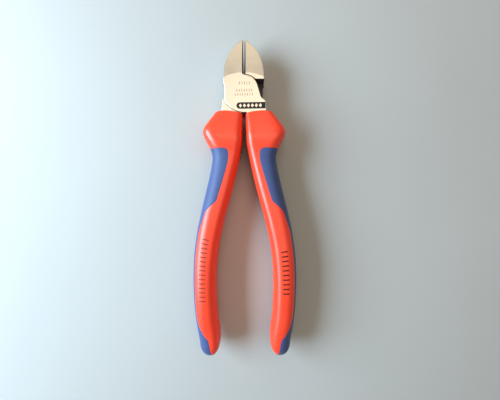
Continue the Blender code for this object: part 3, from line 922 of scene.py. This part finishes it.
def inlay_edge():
    """The soft zone's edge on the unrolled skin, from the outer side round to the inner side."""
    top_x = np.linspace(profile("outer", INLAY_TOP_Y), INLAY_CORNER[0], TOP_POINTS)[:-1]
    top = [(x, INLAY_TOP_Y) for x in top_x]
    corner = arc(INLAY_CORNER, INLAY_CORNER_RADIUS, 90, 180, CORNER_STEPS)
    thumb = spline_through(THUMB_EDGE, EDGE_CURVE_STEPS)
    strip = [(profile("outer", y) - STRIP_WIDTH, y) for y in np.arange(*STRIP_Y, -STRIP_STEP)]
    toe = spline_through(TOE_EDGE, EDGE_CURVE_STEPS)
    plan = [*top, *corner, *thumb, *strip, *toe]
    line = [(0.0, INLAY_TOP_Y)]
    for x, y in plan[1:]:
        place = unrolled(x, y)
        if place[0] > SKIN_WIDTH:
            before = line[-1]
            share = (SKIN_WIDTH - before[0]) / (place[0] - before[0])
            line.append((SKIN_WIDTH, before[1] + (place[1] - before[1]) * share))
            break
        line.append(place)
    return resampled(line, EDGE_SPACING)


def skin_grid(outline, keep_clear, low, high):
    """Points over the unrolled skin between two rows, as many to a row as its girth needs."""
    points = []
    for i, b in enumerate(np.arange(high - GRIP_GRID, low, -GRIP_GRID)):
        _, _, wide, narrow, height, _ = section(b, 0.0)
        girth = wide + narrow + GIRTH_HEIGHT_SHARE * height
        count = max(LEAST_IN_ROW, round(girth / GRIP_GRID))
        steps = [k + 0.5 * (i % 2) for k in range(1, count)]
        points += [(step * SKIN_WIDTH / count, b) for step in steps if step < count - ROW_END_GAP]
    points = np.array(points)
    points = points[inside(points, outline)]
    return points[distance_to(points, keep_clear, False) > GRIP_GRID_MARGIN]


def border(a, start, end):
    """Points down one side of the unrolled skin, the first left out."""
    steps = max(1, round(abs(end - start) / GRIP_GRID))
    return [(a, start + (end - start) * (i + 1) / steps) for i in range(steps)]


def clamped(row):
    """A row of points whose ends lie on the unrolled skin's sides."""
    row = np.array(row)
    row[0, 0], row[-1, 0] = 0.0, SKIN_WIDTH
    return row


def fillet_rows(edge, side):
    """Rows beside an edge where the skin rounds over, as (points, inset)."""
    rows = []
    for turn in FILLET_TURNS:
        a = math.radians(turn)
        row = clamped(offset(edge, side * INLAY_FILLET * (1 - math.cos(a)), False))
        rows.append((row, INLAY_FILLET * (1 - math.sin(a))))
    return rows


def inlay_patch(edge, rows):
    """The soft zone of the unrolled skin, cut into triangles."""
    last_row = rows[-1][0] if rows else edge
    down_inner = [(SKIN_WIDTH, float(row[-1][1])) for row, _ in rows]
    up_outer = [(0.0, float(row[0][1])) for row, _ in rows]
    bottom = [(SKIN_WIDTH * (1 - k / END_POINTS), SKIN_END) for k in range(1, END_POINTS + 1)]
    inner = border(SKIN_WIDTH, float(last_row[-1][1]), SKIN_END)
    outer = border(0.0, SKIN_END, float(last_row[0][1]))
    outline = [*map(tuple, edge), *down_inner, *inner, *bottom, *outer, *up_outer[:-1][::-1]]
    grid = skin_grid(outline, last_row, SKIN_END, float(edge[0][1]))
    return triangulated(outline, [(row, False) for row, _ in rows], grid)


def ring_faces(first, second):
    """Faces between two rows of point numbers."""
    return [(a, b, d, c) for a, b, c, d in zip(first, first[1:], second, second[1:])]


def both_halves(points, faces):
    """Adds the mirror image below z = 0."""
    points = np.asarray(points, float)
    count = len(points)
    lower = points * (1.0, 1.0, -1.0)
    return np.vstack([points, lower]), [*faces, *[tuple(i + count for i in reversed(f)) for f in faces]]


def insets_of(places, start, rows):
    """Each point's inset: that of the row it belongs to, or none."""
    insets = np.zeros(len(places))
    spans = []
    for row, inset in rows:
        spans.append((start, start + len(row), inset))
        start += len(row)
    for i, place in enumerate(places):
        for low, high, inset in spans:
            if low <= place < high:
                insets[i] = inset
    return insets


def match_rows(flat, insets, rows):
    """Gives points that share a row's place on the skin's side that row's inset too."""
    for row, inset in rows:
        for end in (row[0], row[-1]):
            near = np.hypot(*(flat - end).T) < SAME_PLACE
            insets[near] = inset


def rounded_zone(patch, edge, rows):
    """A zone of the skin, drawn in along its edge, as (unrolled, triangles, points, edge's numbers)."""
    flat, triangles, places = patch(edge, rows)
    first_row = rows[0][0]
    second = min(p for p, point in zip(places, flat) if math.dist(point, first_row[1]) < SAME_PLACE)
    insets = insets_of(places, second - 1, rows)
    match_rows(flat, insets, rows)
    where = {p: i for i, p in enumerate(places)}
    rim = [where[i] for i in range(len(edge))]
    insets[rim] = INLAY_FILLET
    return flat, triangles, skin_points(flat, insets), rim


def make_inlay():
    """The right grip's soft part: its outer skin and the same zone deeper down, joined at the edge."""
    edge = clamped(offset(inlay_edge(), -INLAY_GAP, False))
    flat, triangles, upper, rim = rounded_zone(inlay_patch, edge, fillet_rows(edge, -1))
    count = len(flat)
    faces = [*triangles, *[tuple(i + count for i in reversed(f)) for f in triangles]]
    faces += ring_faces(rim, [i + count for i in rim])
    both = np.vstack([upper, skin_points(flat, INLAY_DEPTH)])
    inlay = mesh_object("right_grip_soft", *both_halves(both, faces))
    inlay.data.materials.append(LOOKS["rubber"])
    smooth(inlay, SEAM_CREASE)
    return inlay


def shell_patch(edge, rows):
    """The hard zone of the unrolled skin, cut into triangles."""
    mouth = [MOUTH_Y - MOUTH_FILLET * (1 - math.cos(math.radians(turn))) for turn in MOUTH_TURNS]
    count = MOUTH_POINTS
    up_inner = [(SKIN_WIDTH, float(row[-1][1])) for row, _ in rows]
    down_outer = [(0.0, float(row[0][1])) for row, _ in rows]
    inner = up_inner + border(SKIN_WIDTH, up_inner[-1][1], mouth[-1])
    inner += [(SKIN_WIDTH, b) for b in mouth[-2:0:-1]]
    top = [(SKIN_WIDTH * (1 - k / count), MOUTH_Y) for k in range(count)]
    outer = [(0.0, b) for b in mouth] + border(0.0, mouth[-1], down_outer[-1][1])
    outline = [*map(tuple, edge), *inner, *top, *outer, *down_outer[:-1][::-1]]
    round_rows = [(SKIN_WIDTH * k / count, b) for b in mouth[1:] for k in range(1, count)]
    grid = skin_grid(outline, rows[-1][0], float(edge[:, 1].min()) - 1, mouth[-1])
    return triangulated(outline, [(row, False) for row, _ in rows], np.vstack([grid, round_rows]))


def make_shell():
    """The right grip's hard part: its skin, the inlay's pocket and the hollow for the tang."""
    edge = clamped(inlay_edge())
    flat, triangles, upper, rim = rounded_zone(shell_patch, edge, fillet_rows(edge, 1))
    pocket_flat, pocket_triangles, pocket_places = inlay_patch(edge, [])
    pocket = skin_points(pocket_flat, INLAY_DEPTH + INLAY_GAP)
    pocket_where = {p: i for i, p in enumerate(pocket_places)}
    count = len(flat)
    faces = [*triangles, *[tuple(i + count for i in f) for f in pocket_triangles]]
    faces += ring_faces(rim, [pocket_where[i] + count for i in range(len(edge))])
    shell = mesh_object("right_grip_hard", *both_halves(np.vstack([upper, pocket]), faces))
    close_mouth(shell)
    shell.data.materials.append(LOOKS["plastic"])
    half = HALF + CAVITY_GAP
    cavity = boolean(make_tang(1, CAVITY_GAP), prism("mouth", MOUTH_CAVITY, -half, half), "UNION")
    boolean(shell, cavity, "DIFFERENCE", LOOKS["plastic"])
    smooth(shell, SEAM_CREASE)
    return shell


def close_mouth(shell):
    """Fills the open ring at the shell's mouth."""
    shape = bmesh.new()
    shape.from_mesh(shell.data)
    open_edges = [e for e in shape.edges if e.is_boundary]
    bmesh.ops.holes_fill(shape, edges=open_edges, sides=0)
    bmesh.ops.recalc_face_normals(shape, faces=shape.faces)
    shape.to_mesh(shell.data)
    shape.free()


# Printed marks

def front_band():
    """A plain black band on the plate with a row of open diamonds."""
    low, high = BAND_Y
    radius, middle = (high - low) / 2, (low + high) / 2
    left = arc((BAND_LEFT + radius, middle), radius, 90, 270, BAND_ROUND_STEPS)
    outline = refined([*left, (BAND_RIGHT + BAND_SLANT, low), (BAND_RIGHT, high)], BAND_STEP)
    pitch = (BAND_RIGHT - BAND_LEFT - 2 * radius) / (DIAMONDS - DIAMOND_END_GAP)
    half_width, half_height = DIAMOND_SIZE, DIAMOND_HEIGHT * DIAMOND_SIZE
    band = prism("plate_band", outline, HALF, HALF + INK)
    for k in range(DIAMONDS):
        x = BAND_LEFT + radius + DIAMOND_START + pitch * k
        hole = [
            (x - half_width, middle), (x, middle + half_height),
            (x + half_width, middle), (x, middle - half_height),
        ]
        boolean(band, prism("hole", hole, HALF - PAST_FACE, HALF + PAST_FACE), "DIFFERENCE")
    band.data.materials.clear()
    band.data.materials.append(LOOKS["ink"])
    return band


def etched_rows():
    """Rows of plain upright dashes on the plate."""
    points, faces = [], []
    for middle, height, count, centre in ETCHED_ROWS:
        low, high = middle - height / 2, middle + height / 2
        for k in range(count):
            x = centre + ETCHED_PITCH * (k - (count - 1) / 2)
            left, right = x - ETCHED_WIDTH / 2, x + ETCHED_WIDTH / 2
            dash = [(left, low), (right, low), (right, high), (left, high)]
            faces += [tuple(len(points) + i for i in face) for face in BOX_FACES]
            points += [(x, y, z) for z in (HALF - INK, HALF + INK / 3) for x, y in dash]
    rows = mesh_object("plate_dashes", points, faces)
    rows.data.materials.append(LOOKS["etching"])
    return rows


def skin_height(x, y):
    """The height of the right grip's front skin at (x, y)."""
    _, crown, wide, narrow, height, square = section(y, 0.0)
    exponent = square * (OUTER_ROUNDNESS if x > crown else 1.0)
    share = abs(x - crown) / (wide if x > crown else narrow)
    return float(height * (1 - share ** exponent) ** (1 / exponent))


def handle_marks(name, side, span, shift, look):
    """A row of plain ticks printed across the handle's front."""
    start, end = span
    count = round((start - end) / MARK_PITCH) + 1
    points, faces = [], []
    for k in range(count):
        y0 = start + (end - start) * k / (count - 1)
        centre = (profile("inner", y0) + profile("outer", y0)) / 2 + shift
        lean = (profile("inner", y0 - LEAN_REACH) - profile("inner", y0 + LEAN_REACH)) / (2 * LEAN_REACH)
        new_points, new_faces = mark_block(centre, y0, lean)
        faces += [tuple(len(points) + i for i in face) for face in new_faces]
        points += new_points
    marks = mesh_object(name, [(x * side, y, z) for x, y, z in points], faces)
    marks.data.materials.append(look)
    return marks


def mark_block(centre, y0, lean):
    """One tick: a thin block that follows the skin under it, as points and faces."""
    points, faces = [], []
    for lift in (-MARK_SINK, INK):
        for s in range(MARK_STEPS + 1):
            u = (s / MARK_STEPS - 0.5) * MARK_LENGTH
            for w in (-MARK_WIDTH / 2, MARK_WIDTH / 2):
                x, y = centre + u - w * lean, y0 + w + u * lean
                points.append((x, y, skin_height(x, y) + lift))
    layer = 2 * (MARK_STEPS + 1)
    for s in range(MARK_STEPS):
        a = 2 * s
        quad = (a, a + 2, a + 3, a + 1)
        faces += [quad, tuple(i + layer for i in reversed(quad))]
        faces += [(a, a + layer, a + 2 + layer, a + 2), (a + 1, a + 3, a + 3 + layer, a + 1 + layer)]
    last = 2 * MARK_STEPS
    faces += [(0, 1, 1 + layer, layer), (last, last + layer, last + 1 + layer, last + 1)]
    return points, faces


# Assembly

def put(obj, body, turned_over=False):
    """Moves a piece from the shut pose about the rivet to its place at rest, and rides it on its body."""
    opening = REST_OPENING / 2 if body == "front_half" else -REST_OPENING / 2
    place = Matrix.Translation(PIVOT) @ Matrix.Rotation(opening, 4, "Z")
    if turned_over:
        place = place @ Matrix.Rotation(math.pi, 4, "Y")
    obj.data.transform(place)
    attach(obj, body)
    return obj


def copy_of(obj, name):
    """A copy of an object with a mesh of its own."""
    copy = bpy.data.objects.new(name, obj.data.copy())
    bpy.context.scene.collection.objects.link(copy)
    return copy


def build_tool():
    """Makes every piece, stands it for its node and rides it on its body."""
    for name, node, side, body in (
        ("front_lever_steel", "front_lever", 1, "front_half"),
        ("back_lever_steel", "back_lever", -1, "back_half"),
    ):
        lever = put(make_lever(name, side), body)
        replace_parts(lever, node)
    rivet = put(make_rivet(), "front_half")
    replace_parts(rivet, "joint_rivet")
    for made, kind, node, slot in (
        (make_shell(), "hard", "grip_shell", "grip_hard"),
        (make_inlay(), "soft", "grip_inlay", "grip_soft"),
    ):
        left = copy_of(made, f"left_grip_{kind}")
        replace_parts(put(made, "front_half"), f"right_{node}")
        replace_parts(put(left, "back_half", turned_over=True), f"left_{node}")
    put(front_band(), "front_half")
    put(etched_rows(), "front_half")
    right_marks = handle_marks("right_handle_marks", 1, RIGHT_MARKS, -MARK_SHIFT, LOOKS["handle_ink"])
    put(right_marks, "front_half")
    left_marks = handle_marks("left_handle_marks", -1, LEFT_MARKS, MARK_SHIFT, LOOKS["worn_ink"])
    put(left_marks, "back_half")


# Stage

def build_floor():
    bpy.ops.mesh.primitive_plane_add(size=FLOOR_SIZE)
    floor = bpy.context.active_object
    floor.name = "floor"
    floor.data.materials.append(floor_paint())


def add_light(name, place, target, size, power, colour):
    """A rectangular lamp that shines at target. Places and sizes are in metres, power in watts."""
    light = bpy.data.lights.new(name, "AREA")
    light.shape = "RECTANGLE"
    light.size, light.size_y = size
    light.energy = power
    light.color = colour
    obj = bpy.data.objects.new(name, light)
    bpy.context.scene.collection.objects.link(obj)
    obj.location = place
    obj.rotation_euler = (Vector(target) - Vector(place)).to_track_quat("-Z", "Y").to_euler()


def build_lights():
    add_light(
        "overhead", place=(0.10, 0.12, 0.52), target=(0.0, 0.02, 0.0),
        size=(0.60, 0.38), power=1.10, colour=LAMP_LIGHT,
    )
    add_light(
        "window", place=(-0.40, 0.03, 0.25), target=(0.0, 0.03, 0.01),
        size=(0.44, 0.26), power=6.3, colour=DAYLIGHT,
    )
    add_light(
        "back_wall", place=(-0.02, 0.53, 0.30), target=(0.0, 0.08, 0.01),
        size=(0.50, 0.22), power=0.36, colour=BACK_LIGHT,
    )
    world = bpy.data.worlds.new("studio")
    bpy.context.scene.world = world
    world.use_nodes = True
    room = world.node_tree.nodes["Background"]
    room.inputs["Color"].default_value = ROOM_LIGHT
    room.inputs["Strength"].default_value = ROOM_STRENGTH


def build_camera():
    data = bpy.data.cameras.new("camera")
    data.sensor_width = SENSOR_WIDTH
    data.lens = SENSOR_WIDTH * CAMERA_DISTANCE / VIEW_WIDTH
    data.clip_start = CAMERA_CLIP
    camera = bpy.data.objects.new("camera", data)
    bpy.context.scene.collection.objects.link(camera)
    camera.location = CAMERA_PLACE
    camera.rotation_euler = (0.0, 0.0, CAMERA_ROLL)
    bpy.context.scene.camera = camera
    bpy.context.scene.view_settings.view_transform = "Standard"


LOOKS = {
    "steel": ground_steel(),
    "oxide": oxide_steel(),
    "edge": shaded_edge_steel(),
    "plastic": hard_plastic(),
    "rubber": soft_rubber(),
    "ink": ink("black_ink", BLACK_INK),
    "handle_ink": ink("brown_ink", BROWN_INK),
    "worn_ink": ink("worn_ink", WORN_INK),
    "etching": ink("etching", ETCHED_TONE),
}
build_tool()
build_floor()
build_lights()
build_camera()
